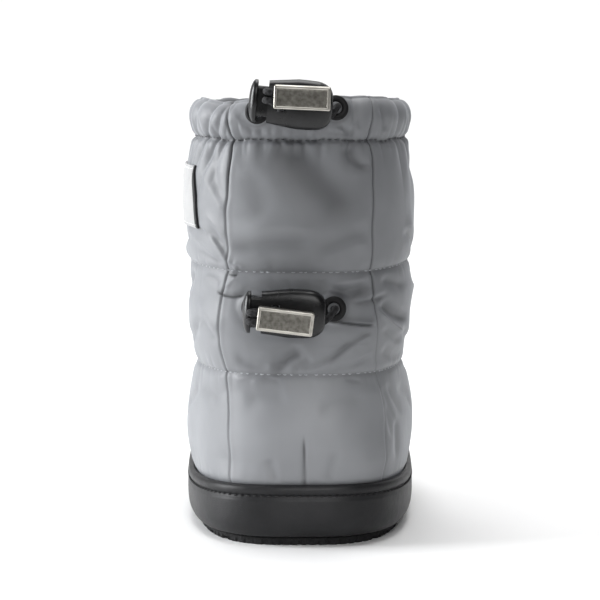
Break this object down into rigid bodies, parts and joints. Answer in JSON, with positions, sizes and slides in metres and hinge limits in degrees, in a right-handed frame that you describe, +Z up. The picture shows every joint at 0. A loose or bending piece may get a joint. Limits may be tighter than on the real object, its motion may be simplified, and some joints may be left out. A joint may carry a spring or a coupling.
{
  "type": "puffer bootie",
  "caption": "Toddler's padded winter bootie, quilted hollow shell on a lugged rubber sole with a black rand, drawcords with push-button cord locks at collar and ankle.",
  "frame": {"origin": "on the floor, in the middle of the bootie's width and length, clips included", "axes": "+Y to the toe, +X to the inner side of the foot, +Z up"},
  "size_m": [0.0798, 0.1723, 0.1561],
  "materials": {
    "outsole_rubber": "matt black rubber with a fine pebbled tread",
    "rand_leather": "black leather-look band with fine grain and a soft sheen",
    "shell_fabric": "satin grey nylon, quilted and padded",
    "insole_cloth": "brushed grey pile",
    "label_cloth": "white woven patch with a black edge",
    "eyelet_enamel": "black enamel",
    "cord_elastic": "black braided elastic cord",
    "lock_plastic": "moulded black plastic, satin",
    "clip_metal": "antique nickel with a darker sunk face"
  },
  "bodies": {
    "boot": {"outsole": "outsole_rubber", "rand": "rand_leather", "upper": "shell_fabric", "insole": "insole_cloth", "side_label": "label_cloth", "collar_eyelet_left": "eyelet_enamel", "collar_eyelet_right": "eyelet_enamel", "ankle_eyelet_left": "eyelet_enamel", "ankle_eyelet_right": "eyelet_enamel", "collar_cord_left": "cord_elastic", "collar_cord_right": "cord_elastic", "ankle_cord_left": "cord_elastic", "ankle_cord_right": "cord_elastic", "collar_lock_body": "lock_plastic", "ankle_lock_body": "lock_plastic", "collar_cord_clip": "clip_metal", "ankle_cord_clip": "clip_metal"},
    "collar_plunger": {"collar_lock_plunger": "lock_plastic"},
    "ankle_plunger": {"ankle_lock_plunger": "lock_plastic"}
  },
  "joints": [
    {"name": "collar_press", "type": "slide", "parent": "boot", "child": "collar_plunger", "axis": [0.9962, 0, -0.0872], "range_m": [0, 0.003], "stiffness_N_per_m": 900, "springref_m": -0.003},
    {"name": "ankle_press", "type": "slide", "parent": "boot", "child": "ankle_plunger", "axis": [0.9994, 0, -0.0349], "range_m": [0, 0.003], "stiffness_N_per_m": 900, "springref_m": -0.003}
  ]
}
